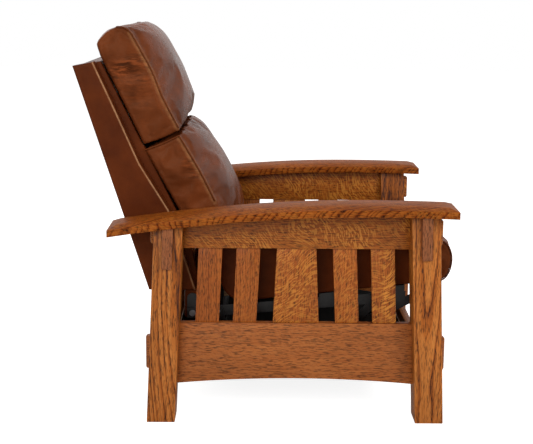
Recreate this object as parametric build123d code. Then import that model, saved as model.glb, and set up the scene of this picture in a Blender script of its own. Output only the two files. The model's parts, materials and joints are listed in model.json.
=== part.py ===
"""Mission reclining armchair: an oak armchair frame that carries a leather seat, back and footrest.

The sitter faces -Y, so the sitter's right hand is on the -X side. +Z is up and the floor is z = 0.
Side outlines are drawn as (forward, up) in millimetres from a point on the floor midway between
the feet. At the end everything is moved so that the origin lies under the middle of the whole chair.
"""
import math
import os

from build123d import *

# Oak frame
frame_width = 798.0          # over the outer faces of the posts
post_size = 77.0
foot_spacing = 738.0         # front foot centre to rear foot centre
post_splay = 2.5             # degrees, the feet stand wider than the tops
post_allowance = 12.0        # posts are made this much too long, then cut to the arm's underside
rail_thickness = 22.0
rail_setback = 38.0          # post face to rail face
upper_rail_drop = 42.0        # arm's lowest underside to the rail's lower edge
lower_rail_top = 272.6
lower_rail_bottom = 99.5
lower_rail_arch = 15.0
tenon_thickness = 19.0
upper_tenon_drop = 30.5      # arm's lowest underside to the tenon's lower edge
upper_tenon_depth = 70.0
lower_tenon_low = 141.5
lower_tenon_high = 234.0
tenon_stand_out = 12.5
tenon_chamfer = 3.5
mortise_gap = 0.2

slat_thickness = 12.5
slat_setback = 5.0
slat_width = 64.6
outer_slat_top = 234.3       # slat centre to chair centre, at the slat's top
outer_slat_bottom = 243.5
inner_slat_top = 130.9
inner_slat_bottom = 140.8
centre_slat_top = 106.9      # width at the top
centre_slat_bottom = 126.2

arm_width = 130.0
arm_thickness = 27.0
arm_overhang = 28.0          # outer edge beyond the post's face
arm_front = 428.0
arm_rear = 506.0
arm_end_height = 525.0       # underside at the rear end
arm_rise = 59.8
arm_length_shares = (0.0, 0.286, 0.577, 0.76, 1.0)
arm_rise_shares = (0.0, 0.6, 0.941, 0.992, 0.92)
arm_bevel_width = 25.0
arm_bevel_drop = 8.0

corbel_width = 28.0
front_corbel_height = 123.0     # from the crown of the arm's underside
rear_corbel_height = 152.0      # longer, because the arm is lower there
corbel_top = 25.0
corbel_foot = 10.0
corbel_belly_share = 0.4
corbel_chamfer = 2.5

# From here on, heights are measured up from the lower front corner of the seat's sides, so that
# the seat, back, footrest, steelwork and stretchers rise and fall together
seat_bottom_height = 365.0   # that corner above the floor

# Stretchers
stretcher_thickness = 22.0
rear_stretcher_top = -111.0
front_stretcher_top = -196.0
stretcher_bottom = -241.0

# Reclining steelwork: X places are distances from the chair's middle plane
steel = 3.0
side_gap = 1.0               # between plates that pass each other
seat_plate_x = 282.0         # inner face of the plate under each side of the seat
pin_radius = 5.0
pin_gap = 0.1
pin_head_radius = 9.0
pin_head = 2.0
link_end_radius = 14.0

swing_link = 120.0           # pivot to pivot
swing_lean = 12.0            # degrees, links lean back at rest
rear_link_forward = -215.0   # upper pivot of the rear link
front_link_forward = 35.0
link_tube_radius = 9.5
link_tube_wall = 1.8

strip_forward = -75.0        # a point on the seat plate's centre line
strip_height = -69.0
strip_slope = 0.0889
strip_half = 15.0
strip_front = 310.0
ear_width = 44.0
ear_places = (-150.0, 90.0, 285.0)
ear_tab = 24.0

base_plate_low = -231.0
base_plate_shares = (0.62, 0.95, 1.0, 0.42)
base_plate_rise = 78.0
base_tab = 34.0
base_tube = 20.0
base_tube_wall = 2.0
base_tube_forward = 290.0
bolt_radius = 4.0
bolt_head_radius = 7.5
bolt_head = 5.0

# Seat
seat_outer = 283.0
seat_side_thickness = 30.0
seat_bottom_front = 329.0    # lower front corner of the seat's sides
seat_bottom_slope = 0.1126
seat_side_rear = -208.0
seat_side_top = 110.5
seat_side_front_top = 370.0
seat_side_radius = 12.0
seat_side_rear_radius = 62.0
seat_rail_thickness = 24.0
front_rail_forward = 327.0   # front face of the seat's front rail at its foot
front_rail_low = 9.0
front_rail_top = 36.0
rear_rail_forward = -200.0
rear_rail_low = -46.0
rear_rail_top = -10.0
strap_thickness = 2.5
strap_width = 50.0
strap_count = 5
strap_pitch = 92.0
soft_gap = 0.4

cushion_half = 251.5
cushion_rear = -259.0
cushion_front = 356.5
cushion_rear_side = 92.5
cushion_rear_crown = 14.0
cushion_middle_side = 106.5
cushion_middle_crown = 24.0
cushion_front_side = 102.5
cushion_front_crown = 22.0
cushion_front_round = 34.0
cushion_front_drop = 26.0
cushion_nose = 11.0

# Back
hinge_forward = -288.0
hinge_height = -88.0
back_lean = 18.0             # degrees, the wings' rear edge
back_forward = -411.0        # wings' lower rear corner
back_height = -16.3
wing_outer = 288.0
wing_thickness = 45.0
wing_length = 650.0
wing_foot_depth = 124.0
wing_low_share = 0.359           # places level with shares of the wings' rear edge,
wing_middle_share = 0.567        # and how far their front edge is behind the pillows there
wing_top_share = 1.019
wing_low_gap = 14.0
wing_middle_gap = 29.8
wing_top_gap = 14.5
wing_foot_height = -21.5
wing_edge = 6.0
back_panel_thickness = 12.0
stile_thickness = 27.0
pillow_lean = 26.4           # degrees, rear face of the two pillows
pillow_forward = -423.0      # where the pillows meet, at their rear face
pillow_height = 376.2
stile_knee_drop = 1.5            # the stiles' knee lies under the lower pillow's foot
stile_foot_forward = -270.0
back_rail_thickness = 24.0
top_rail_depth = 60.0
middle_rail_depth = 70.0
middle_rail_share = 0.42
tail_front = -265.0
tail_rear = -311.0
tail_low = -105.0
tail_edge = 10.0
bracket_half = 15.0

pillow_half = 254.0
pillow_side = 109.5          # thickness at the welt
pillow_crown = 55.5
upper_length = 331.5
upper_shoulder = 37.0
upper_corner_crown = 46.0
upper_corner_drop = 15.0
upper_foot_crown = 30.0
upper_foot_lift = 4.0
pillow_join = 1.0            # half the space between the two pillows
lower_foot_height = 131.5
lower_corner_crown = 34.0
lower_corner_drop = 2.0
lower_foot_crown = 46.0
pillow_end_draw = 7.0
pillow_bow = 3.0             # how far the front bulges even at the side seams

# Footrest
foot_pivot_forward = 236.5
foot_pivot_height = -40.0
first_link = 150.0
first_link_angle = -134.0    # degrees from straight forward, at rest
board_pivot_forward = 340.5
board_pivot_height = -36.0
foot_link_half = 12.0
board_top_forward = 396.5
board_top_height = 120.0
board_foot_forward = 340.5
board_foot_height = -14.0
board_thickness = 15.0
board_bracket_length = 60.0
pad_half = 268.0
pad_depth = 58.5             # off the board's face, at its fullest
pad_place_shares = (1.103, 0.986, 0.798, 0.445, 0.179)   # brow, shoulder, nose, chin, throat up the board
pad_depth_shares = (0.192, 0.618, 0.948, 1.0, 0.49)
pad_end_share = 0.62

overrun = 60.0               # how far cutting shapes reach past what they cut

os.makedirs("parts", exist_ok=True)
SIDE = Plane(origin=(0, 0, 0), x_dir=(0, -1, 0), z_dir=(-1, 0, 0))
nodes = {}


def outline(*points):
    """A face with straight edges, from (forward, up) points."""
    return make_face(Polyline(*points, close=True).edges())


def slab(face, inner, outer):
    """A side outline given its thickness between two distances from the middle plane."""
    return Pos(outer, 0, 0) * extrude(SIDE * face, outer - inner, dir=(-1, 0, 0))


def pair(name, left):
    """The sitter's left piece as built, and its mirror image on the right."""
    nodes["left_" + name] = left
    nodes["right_" + name] = mirror(left, Plane.YZ)


def group(pieces):
    """Separate solids that share a node."""
    return Compound([solid for piece in pieces for solid in piece.solids()])


def both(*left):
    """One group of left solids and their mirror images."""
    return group([*left, *(mirror(piece, Plane.YZ) for piece in left)])


def crosswise(radius, forward, up, inner, outer):
    """A round bar along X, with its axis at (forward, up), from inner to outer."""
    return slab(Pos(forward, up) * Circle(radius), inner, outer)


def polar(length, angle):
    """(forward, up) of a step of that length at an angle above straight forward."""
    return length * math.cos(math.radians(angle)), length * math.sin(math.radians(angle))


def shifted(point, step):
    """A point moved by a step."""
    return point[0] + step[0], point[1] + step[1]


def link_face(start, end, half):
    """The stadium outline of a flat link between two pivots."""
    length = math.dist(start, end)
    angle = math.degrees(math.atan2(end[1] - start[1], end[0] - start[0]))
    middle = ((start[0] + end[0]) / 2, (start[1] + end[1]) / 2)
    return Pos(*middle) * Rot(0, 0, angle) * SlotCenterToCenter(length, 2 * half)


# Oak frame: posts, rails with through tenons, slats, corbels and arms
post_outer = frame_width / 2
post_inner = post_outer - post_size
rail_outer = post_outer - rail_setback
rail_inner = rail_outer - rail_thickness
tenon_outer = (rail_outer + rail_inner + tenon_thickness) / 2
tenon_inner = tenon_outer - tenon_thickness
foot = foot_spacing / 2
splay = math.tan(math.radians(post_splay))
half_post = post_size / 2 / math.cos(math.radians(post_splay))
arm_outer = post_outer + arm_overhang
arm_inner = arm_outer - arm_width
arm_length = arm_front + arm_rear
post_reach = arm_end_height + arm_rise + post_allowance
upper_rail_bottom = arm_end_height - upper_rail_drop
upper_tenon_low = arm_end_height - upper_tenon_drop
upper_tenon_high = upper_tenon_low + upper_tenon_depth


def post_line(height, side):
    """Forward place of a post's face: side +1 looks away from the chair's middle, -1 towards it."""
    return foot - splay * height + side * half_post


under_points = [
    (a * arm_length - arm_rear, arm_end_height + r * arm_rise)
    for a, r in zip(arm_length_shares, arm_rise_shares)
]
arm_under = Spline(*under_points)
above_points = [(forward, up + arm_thickness) for forward, up in under_points]
arm_over = Spline(*above_points)
arm_face = make_face(
    [
        *arm_under.edges(),
        Line(under_points[-1], above_points[-1]),
        *arm_over.edges(),
        Line(above_points[0], under_points[0]),
    ]
)
arm = slab(arm_face, arm_inner, arm_outer)
top_face = arm.faces().sort_by(Axis.Z)[-1]
arm = chamfer(top_face.edges(), length=arm_bevel_width, length2=arm_bevel_drop, reference=top_face)
pair("arm", arm)

sky = above_points[0][1] + arm_rise + overrun
over_arm = make_face(
    [
        *arm_under.edges(),
        Line(under_points[-1], (arm_front, sky)),
        Line((arm_front, sky), (-arm_rear, sky)),
        Line((-arm_rear, sky), under_points[0]),
    ]
)
arm_space = slab(over_arm, arm_inner - overrun, arm_outer + overrun)


def tenon(low, high, clearance):
    """A through tenon with chamfered ends, or its mortise if it has a clearance."""
    reach = foot + half_post + tenon_stand_out + clearance * overrun
    face = outline(
        (-reach - clearance + splay * (low + high) / 2, low - clearance),
        (reach + clearance - splay * (low + high) / 2, low - clearance),
        (reach + clearance - splay * (low + high) / 2, high + clearance),
        (-reach - clearance + splay * (low + high) / 2, high + clearance),
    )
    return slab(face, tenon_inner - clearance, tenon_outer + clearance)


def through_tenon(low, high):
    """The finished tenon bar: its two ends are chamfered all round."""
    bar = tenon(low, high, 0)
    ends = bar.faces().sort_by(Axis.Y)
    return chamfer(ends[0].edges() + ends[-1].edges(), tenon_chamfer)


mortises = [
    tenon(upper_tenon_low, upper_tenon_high, mortise_gap),
    tenon(lower_tenon_low, lower_tenon_high, mortise_gap),
]
front_post_face = outline(
    (post_line(0, -1), 0), (post_line(0, 1), 0),
    (post_line(post_reach, 1), post_reach), (post_line(post_reach, -1), post_reach),
)
front_post = slab(front_post_face, post_inner, post_outer) - mortises[0] - mortises[1]
rear_post = mirror(slab(front_post_face, post_inner, post_outer), Plane.XZ) - mortises[0] - mortises[1]
pair("front_post", front_post - arm_space)
pair("rear_post", rear_post - arm_space)

upper_rail_face = outline(
    (-post_line(upper_rail_bottom, -1), upper_rail_bottom),
    (post_line(upper_rail_bottom, -1), upper_rail_bottom),
    (post_line(post_reach, -1), post_reach),
    (-post_line(post_reach, -1), post_reach),
)
upper_rail = slab(upper_rail_face, rail_inner, rail_outer)
upper_rail = upper_rail + through_tenon(upper_tenon_low, upper_tenon_high)
pair("upper_rail", upper_rail - arm_space)

low_corner = post_line(lower_rail_bottom, -1)
lower_rail_face = make_face(
    [
        ThreePointArc((-low_corner, lower_rail_bottom), (0, lower_rail_bottom + lower_rail_arch),
                      (low_corner, lower_rail_bottom)),
        Line((low_corner, lower_rail_bottom), (post_line(lower_rail_top, -1), lower_rail_top)),
        Line((post_line(lower_rail_top, -1), lower_rail_top),
             (-post_line(lower_rail_top, -1), lower_rail_top)),
        Line((-post_line(lower_rail_top, -1), lower_rail_top), (-low_corner, lower_rail_bottom)),
    ]
)
lower_rail = slab(lower_rail_face, rail_inner, rail_outer)
pair("lower_rail", lower_rail + through_tenon(lower_tenon_low, lower_tenon_high))

slat_outer = rail_outer - slat_setback
slats = (
    (-outer_slat_top, -outer_slat_bottom, slat_width, slat_width),
    (-inner_slat_top, -inner_slat_bottom, slat_width, slat_width),
    (0, 0, centre_slat_top, centre_slat_bottom),
    (inner_slat_top, inner_slat_bottom, slat_width, slat_width),
    (outer_slat_top, outer_slat_bottom, slat_width, slat_width),
)
for number, (top, bottom, top_width, bottom_width) in enumerate(slats, 1):
    face = outline(
        (bottom - bottom_width / 2, lower_rail_top), (bottom + bottom_width / 2, lower_rail_top),
        (top + top_width / 2, upper_rail_bottom), (top - top_width / 2, upper_rail_bottom),
    )
    pair(f"slat_{number}", slab(face, slat_outer - slat_thickness, slat_outer))


def corbel(forward, height):
    """A tapered bracket on a post's outer face, leaning with the post, under the arm."""
    middle = foot - splay * (arm_end_height + arm_rise)
    foot_up = arm_end_height + arm_rise - height
    belly = corbel_foot + corbel_belly_share * (corbel_top - corbel_foot)
    edge = post_outer
    face = make_face(
        [
            Line((edge, foot_up), (edge + corbel_foot, foot_up)),
            ThreePointArc((edge + corbel_foot, foot_up),
                          (edge + belly, foot_up + height / 2),
                          (edge + corbel_top, foot_up + height)),
            Line((edge + corbel_top, foot_up + height), (edge, foot_up + height)),
            Line((edge, foot_up + height), (edge, foot_up)),
        ]
    )
    across = Plane(origin=(0, 0, 0), x_dir=(1, 0, 0), z_dir=(0, -1, 0))
    block = Pos(0, corbel_width / 2, 0) * extrude(across * face, corbel_width, dir=(0, -1, 0))
    foot_edges = block.faces().sort_by(Axis.Z)[0].edges()
    block = chamfer(foot_edges.filter_by(Axis.X) + foot_edges.sort_by(Axis.X)[-1:], corbel_chamfer)
    tilt = Rot(-post_splay if forward > 0 else post_splay, 0, 0)
    top = Pos(0, 0, foot_up + height)
    return Pos(0, -forward * middle, 0) * top * tilt * top.inverse() * block


pair("front_corbel", corbel(1, front_corbel_height) - arm_space)
pair("rear_corbel", corbel(-1, rear_corbel_height) - arm_space)


oak_names = list(nodes)


def stretcher_place(top):
    """How far from the chair's middle a stretcher's centre line is, on the splayed posts."""
    return foot - splay * (seat_bottom_height + (top + stretcher_bottom) / 2)


def stretcher(top, side):
    """A plain rail across the chair between the two posts of one end."""
    middle = (top + stretcher_bottom) / 2
    face = Pos(side * stretcher_place(top), middle) * Rectangle(stretcher_thickness, top - stretcher_bottom)
    return slab(face, -post_inner, post_inner)


nodes["front_stretcher"] = stretcher(front_stretcher_top, 1)
nodes["rear_stretcher"] = stretcher(rear_stretcher_top, -1)
front_stretcher_inner = stretcher_place(front_stretcher_top) - stretcher_thickness / 2
rear_stretcher_inner = stretcher_place(rear_stretcher_top) - stretcher_thickness / 2

# Steelwork places, from the seat outwards
seat_plate_outer = seat_plate_x + steel
swing_x = seat_plate_outer + side_gap
base_plate_x = swing_x + steel + side_gap
first_x = seat_plate_x - side_gap - steel
second_x = first_x - side_gap - steel
board_bracket_x = second_x - side_gap - steel
back_bracket_x = seat_plate_x - side_gap - steel


def strip_line(forward):
    """Height of the seat plate's centre line."""
    return strip_height + strip_slope * (forward - strip_forward)


def seat_line(forward):
    """Height of the underside of the seat's sides."""
    return -seat_bottom_slope * (seat_bottom_front - forward)


swing_step = (-swing_link * math.sin(math.radians(swing_lean)),
              swing_link * math.cos(math.radians(swing_lean)))
seat_pivots = [(f, strip_line(f)) for f in (rear_link_forward, front_link_forward)]
base_pivots = [(f - swing_step[0], u - swing_step[1]) for f, u in seat_pivots]
hinge = (hinge_forward, hinge_height)
foot_pivot = (foot_pivot_forward, foot_pivot_height)
knee = shifted(foot_pivot, polar(first_link, first_link_angle))
board_pivot = (board_pivot_forward, board_pivot_height)


def shoulder_pin(place, inner, outer):
    """A rivet along X: its shank ends at inner and its flat head lies beyond outer."""
    shank = crosswise(pin_radius, *place, inner, outer)
    return shank + crosswise(pin_head_radius, *place, outer, outer + pin_head)


def hole(place, inner, outer):
    """A pin's hole along X through a plate between inner and outer."""
    return crosswise(pin_radius + pin_gap, *place, inner - side_gap / 2, outer + side_gap / 2)


# Fixed steelwork on the oak frame
plate_points = [(-rear_stretcher_inner, base_plate_low), (front_stretcher_inner, base_plate_low)]
plate_tops = (front_stretcher_inner, base_pivots[1][0], base_pivots[0][0], -rear_stretcher_inner)
for place, share in zip(plate_tops, reversed(base_plate_shares)):
    plate_points.append((place, base_plate_low + share * base_plate_rise))
base_plate = slab(outline(*plate_points), base_plate_x, base_plate_x + steel)
front_tab_top = front_stretcher_top
for end, height in ((front_stretcher_inner, front_tab_top), (-rear_stretcher_inner, front_tab_top)):
    step = -steel if end > 0 else steel
    face = outline((end, base_plate_low), (end, height), (end + step, height), (end + step, base_plate_low))
    base_plate = base_plate + slab(face, base_plate_x - base_tab, base_plate_x + steel)
tube_up = base_plate_low + base_tube / 2
for place in base_pivots:
    base_plate = base_plate - hole(place, base_plate_x, base_plate_x + steel)
bolt_up = (base_plate_low + front_tab_top) / 2
bolt_x = base_plate_x - base_tab / 2
bolts = []
for end, side in ((front_stretcher_inner, 1), (rear_stretcher_inner, -1)):
    along = Plane(origin=(bolt_x, -side * (end - steel), bolt_up), z_dir=(0, -side, 0))
    shank = extrude(along * Circle(bolt_radius), steel + stretcher_thickness / 2)
    head = extrude(along * Circle(bolt_head_radius), -bolt_head)
    bolt = shank + head
    bolts.append(bolt)
    base_plate = base_plate - shank
    name = "front_stretcher" if side > 0 else "rear_stretcher"
    nodes[name] = nodes[name] - shank - mirror(shank, Plane.YZ)
pair("base_plate", base_plate)
nodes["base_bolts"] = both(*bolts)
nodes["base_pivots"] = both(*(shoulder_pin(p, swing_x, base_plate_x + steel) for p in base_pivots))


def cross_tube(forward):
    """A square tube across the chair between the two base plates."""
    section = Rectangle(base_tube, base_tube)
    section = section - Rectangle(base_tube - 2 * base_tube_wall, base_tube - 2 * base_tube_wall)
    return slab(Pos(forward, tube_up) * section, -base_plate_x, base_plate_x)


nodes["base_cross_tubes"] = group([cross_tube(base_tube_forward), cross_tube(-base_tube_forward)])

# Swing links: two pairs of equal links carry the seat on the base plates


def swing_links(lower, upper):
    """A left link between its two pivots."""
    plate = slab(link_face(lower, upper, link_end_radius), swing_x, swing_x + steel)
    for place in (lower, upper):
        plate = plate - hole(place, swing_x, swing_x + steel)
    return plate


nodes["rear_swing_links"] = both(swing_links(base_pivots[0], seat_pivots[0]))
nodes["front_swing_links"] = both(swing_links(base_pivots[1], seat_pivots[1]))
tube_place = ((base_pivots[0][0] + seat_pivots[0][0]) / 2, (base_pivots[0][1] + seat_pivots[0][1]) / 2)
torque_tube = crosswise(link_tube_radius, *tube_place, -swing_x, swing_x)
bore = crosswise(link_tube_radius - link_tube_wall, *tube_place, -swing_x - overrun, swing_x + overrun)
nodes["rear_link_tube"] = torque_tube - bore

# Seat: leather sides, wooden rails, straps, cushion and the steel plates underneath
strip = outline(
    (hinge_forward - strip_half, strip_line(hinge_forward) - strip_half),
    (strip_front, strip_line(strip_front) - strip_half),
    (strip_front, strip_line(strip_front) + strip_half),
    (hinge_forward - strip_half, strip_line(hinge_forward) + strip_half),
)
seat_plate = slab(strip, seat_plate_x, seat_plate_outer)
for place in ear_places:
    low, high = place - ear_width / 2, place + ear_width / 2
    ear = outline((low, strip_line(low)), (high, strip_line(high)),
                  (high, seat_line(high)), (low, seat_line(low)))
    tab = outline((low, seat_line(low)), (high, seat_line(high)),
                  (high, seat_line(high) - steel), (low, seat_line(low) - steel))
    seat_plate = seat_plate + slab(ear, seat_plate_x, seat_plate_outer)
    seat_plate = seat_plate + slab(tab, seat_plate_x - ear_tab, seat_plate_outer)
for place in (*seat_pivots, hinge, foot_pivot):
    seat_plate = seat_plate - hole(place, seat_plate_x, seat_plate_outer)
pair("seat_plate", seat_plate)
swing_pins = [mirror(shoulder_pin(p, -(swing_x + steel), -seat_plate_x), Plane.YZ) for p in seat_pivots]
inner_pins = [shoulder_pin(p, first_x, seat_plate_outer) for p in (hinge, foot_pivot)]
nodes["seat_pivots"] = both(*swing_pins, *inner_pins)

side_rear_low = seat_line(seat_side_rear)
side_face = outline(
    (seat_side_rear, side_rear_low), (seat_bottom_front, 0),
    (seat_side_front_top, seat_side_top), (seat_side_rear, seat_side_top),
)
rear_corners = side_face.vertices().sort_by(Axis.X)[:2]
side_face = fillet(rear_corners.sort_by(Axis.Y)[0], seat_side_rear_radius)
side_face = fillet(side_face.vertices().sort_by(Axis.Y)[-2:], seat_side_radius)
seat_side = slab(side_face, seat_outer - seat_side_thickness, seat_outer)
pair("seat_side", seat_side)

rail_half = seat_outer - seat_side_thickness
lean = (seat_side_front_top - seat_bottom_front) / seat_side_top
front_rail_foot = front_rail_forward + lean * front_rail_low
front_rail_head = front_rail_forward + lean * front_rail_top
front_rail_face = outline(
    (front_rail_foot, front_rail_low), (front_rail_head, front_rail_top),
    (front_rail_head - seat_rail_thickness, front_rail_top),
    (front_rail_foot - seat_rail_thickness, front_rail_low),
)
nodes["seat_front_rail"] = slab(front_rail_face, -rail_half, rail_half)
rear_rail_face = outline(
    (rear_rail_forward, rear_rail_low), (rear_rail_forward + seat_rail_thickness, rear_rail_low),
    (rear_rail_forward + seat_rail_thickness, rear_rail_top), (rear_rail_forward, rear_rail_top),
)
nodes["seat_rear_rail"] = slab(rear_rail_face, -rail_half, rail_half)
strap_front = (front_rail_head, front_rail_top)
strap_rear = (rear_rail_forward, rear_rail_top)
strap_slope = (strap_front[1] - strap_rear[1]) / (strap_front[0] - strap_rear[0])
strap_face = outline(
    strap_rear, strap_front,
    shifted(strap_front, (0, strap_thickness)), shifted(strap_rear, (0, strap_thickness)),
)
strap_middle = (strap_count - 1) / 2
nodes["seat_straps"] = group(
    slab(strap_face, (i - strap_middle) * strap_pitch - strap_width / 2,
         (i - strap_middle) * strap_pitch + strap_width / 2)
    for i in range(strap_count)
)
under_strap = slab(outline(strap_rear, strap_front, shifted(strap_front, (overrun, 0)),
                           shifted(strap_front, (overrun, overrun)), shifted(strap_rear, (-overrun, overrun)),
                           shifted(strap_rear, (-overrun, 0))), -rail_half, rail_half)
for name in ("seat_front_rail", "seat_rear_rail"):
    nodes[name] = nodes[name] - under_strap

crown_places = (0.0, 0.3, 0.55, 0.75, 0.9, 1.0)
crown_power = 2.6


def crown_share(place):
    """How far the stuffing has risen: 0 at the side seam, 1 in the middle."""
    return 1 - place ** crown_power


def crowned(section, half):
    """A soft form lofted across the chair through sections that rise towards the middle."""
    places = [-p for p in reversed(crown_places[1:])] + list(crown_places)
    faces = [Pos(p * half, 0, 0) * (SIDE * section(crown_share(abs(p)))) for p in places]
    return loft(faces)


def strap_top(forward):
    """Height of the straps' upper face."""
    return strap_rear[1] + strap_slope * (forward - strap_rear[0]) + strap_thickness + soft_gap


def cushion_section(rise):
    """Side view of the seat cushion at one place across its width."""
    draw = (1 - rise) * pillow_end_draw
    rear_low = (cushion_rear + draw, strap_top(cushion_rear + draw))
    rear_high = (cushion_rear + draw, cushion_rear_side + rise * cushion_rear_crown)
    middle = ((cushion_rear + cushion_front) / 2, cushion_middle_side + rise * cushion_middle_crown)
    brow = (cushion_front - cushion_front_round - draw, cushion_front_side + rise * cushion_front_crown)
    nose = (cushion_front - draw, brow[1] - cushion_front_drop)
    chin_up = strap_top(cushion_front)
    chin = (cushion_front - cushion_front_round - cushion_nose - draw, chin_up)
    return make_face(
        [
            Line(chin, rear_low), Line(rear_low, rear_high),
            ThreePointArc(rear_high, middle, brow), ThreePointArc(brow, nose, chin),
        ]
    )


nodes["seat_cushion"] = crowned(cushion_section, cushion_half)

# Back: leather wings and rear panel over a wooden frame, with two pillows
wing_inner = wing_outer - wing_thickness
up_back = polar(1, 90 + back_lean)
off_back = polar(1, back_lean)


def back_point(along, off):
    """A point of the wings: along their rear edge, and off it towards the sitter."""
    return (back_forward + along * up_back[0] + off * off_back[0],
            back_height + along * up_back[1] + off * off_back[1])


def back_foot(off):
    """Where a line parallel to the wings' rear edge meets the height of their foot."""
    along = (wing_foot_height - back_height - off * off_back[1]) / up_back[1]
    return back_point(along, off)


up_pillow = polar(1, 90 + pillow_lean)
off_pillow = polar(1, pillow_lean)


def pillow_point(along, off):
    """A point of the pillows: along their rear face from where they meet, and off it."""
    return (pillow_forward + along * up_pillow[0] + off * off_pillow[0],
            pillow_height + along * up_pillow[1] + off * off_pillow[1])


def pillow_rear_at(height):
    """A point just behind the pillows' rear plane at one height."""
    along = (height - pillow_height) / up_pillow[1]
    return pillow_point(along, -soft_gap)


def wing_front(share, gap):
    """A point of the wings' front edge: level with a share of their rear edge, behind the pillows."""
    level = back_point(wing_length * share, 0)[1]
    return shifted(pillow_rear_at(level), (-gap, 0))


wing_face = outline(
    back_foot(0), back_foot(wing_foot_depth), wing_front(wing_low_share, wing_low_gap),
    wing_front(wing_middle_share, wing_middle_gap), wing_front(wing_top_share, wing_top_gap),
    back_point(wing_length, 0),
)
wing = slab(wing_face, wing_inner, wing_outer)
wing = fillet(wing.faces().sort_by(Axis.X)[-1].edges(), wing_edge)
pair("wing", wing)

panel_face = outline(
    back_foot(0), back_foot(back_panel_thickness),
    back_point(wing_length - wing_edge, back_panel_thickness), back_point(wing_length - wing_edge, 0),
)
nodes["back_panel"] = slab(panel_face, -wing_inner, wing_inner)

stile_top = pillow_rear_at(wing_front(wing_top_share, wing_top_gap)[1])
stile_outer = wing_inner
stile_inner = stile_outer - stile_thickness
stile_face = outline(
    back_foot(back_panel_thickness), (stile_foot_forward, wing_foot_height),
    pillow_rear_at(lower_foot_height - stile_knee_drop), stile_top,
    back_point(wing_length - wing_edge, back_panel_thickness),
)
pair("back_stile", slab(stile_face, stile_inner, stile_outer))


def back_rail(low, depth):
    """A rail between the stiles with its front face behind the pillows."""
    face = outline(
        pillow_rear_at(low), pillow_rear_at(low + depth),
        shifted(pillow_rear_at(low + depth), (-back_rail_thickness, 0)),
        shifted(pillow_rear_at(low), (-back_rail_thickness, 0)),
    )
    return slab(face, -stile_inner, stile_inner)


top_corner = back_point(wing_length - wing_edge, back_panel_thickness)
top_rail_face = outline(
    top_corner, stile_top,
    pillow_rear_at(stile_top[1] - top_rail_depth),
    back_point(wing_length - wing_edge - top_rail_depth, back_panel_thickness),
)
nodes["back_top_rail"] = slab(top_rail_face, -stile_inner, stile_inner)
middle_low = wing_foot_height + middle_rail_share * wing_length
nodes["back_middle_rail"] = back_rail(middle_low, middle_rail_depth)

tail_face = outline(
    (tail_rear, tail_low), (tail_front, tail_low),
    (tail_front, wing_foot_height), (tail_rear, wing_foot_height),
)
tail_face = fillet(tail_face.vertices(), tail_edge)
nodes["back_bottom_rail"] = slab(tail_face, -back_bracket_x, back_bracket_x)
bracket = slab(link_face(hinge, (hinge_forward, wing_foot_height - bracket_half - tail_edge), bracket_half),
               back_bracket_x, back_bracket_x + steel)
bracket = bracket - hole(hinge, back_bracket_x, back_bracket_x + steel)
nodes["back_brackets"] = both(bracket)


def upper_section(rise):
    """Side view of the upper pillow at one place across its width."""
    draw = (1 - rise) * pillow_end_draw
    low = pillow_join + draw
    shoulder = upper_length - upper_shoulder - draw
    front = pillow_side + rise * upper_corner_crown
    corner = pillow_point(shoulder - rise * upper_corner_drop, front)
    top = pillow_point(upper_length - draw, (pillow_side + rise * upper_corner_crown) / 2)
    belly = pillow_point((low + shoulder) / 2, pillow_side + pillow_bow + rise * pillow_crown)
    chin = pillow_point(low + rise * upper_foot_lift, pillow_side + rise * upper_foot_crown)
    return make_face(
        [
            Line(pillow_point(low, 0), pillow_point(shoulder, 0)),
            ThreePointArc(pillow_point(shoulder, 0), top, corner),
            ThreePointArc(corner, belly, chin), Line(chin, pillow_point(low, 0)),
        ]
    )


def lower_section(rise):
    """Side view of the lower pillow at one place across its width, flat where it meets the seat."""
    draw = (1 - rise) * pillow_end_draw
    top = -pillow_join - draw
    foot_up = lower_foot_height + draw

    def foot_point(off):
        along = (foot_up - pillow_height - off * off_pillow[1]) / up_pillow[1]
        return pillow_point(along, off)

    corner = pillow_point(top - rise * lower_corner_drop, pillow_side + rise * lower_corner_crown)
    toe = foot_point(pillow_side + rise * lower_foot_crown)
    bulge = pillow_bow + rise * (pillow_crown - lower_corner_crown) / 2
    belly = shifted(((corner[0] + toe[0]) / 2, (corner[1] + toe[1]) / 2), polar(bulge, pillow_lean))
    return make_face(
        [
            Line(foot_point(0), pillow_point(top, 0)), Line(pillow_point(top, 0), corner),
            ThreePointArc(corner, belly, toe), Line(toe, foot_point(0)),
        ]
    )


nodes["upper_pillow"] = crowned(upper_section, pillow_half)
nodes["lower_pillow"] = crowned(lower_section, pillow_half)

# Footrest: two folding links a side, brackets, board and pad


def foot_link(start, end, inner, holes):
    """A flat link with running holes."""
    plate = slab(link_face(start, end, foot_link_half), inner, inner + steel)
    for place in holes:
        plate = plate - hole(place, inner, inner + steel)
    return plate


first = foot_link(foot_pivot, knee, first_x, [foot_pivot])
first = first + crosswise(pin_radius, *knee, second_x, first_x)
nodes["footrest_first_links"] = both(first)
second = foot_link(knee, board_pivot, second_x, [knee])
second = second + crosswise(pin_radius, *board_pivot, board_bracket_x, second_x)
nodes["footrest_second_links"] = both(second)

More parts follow.
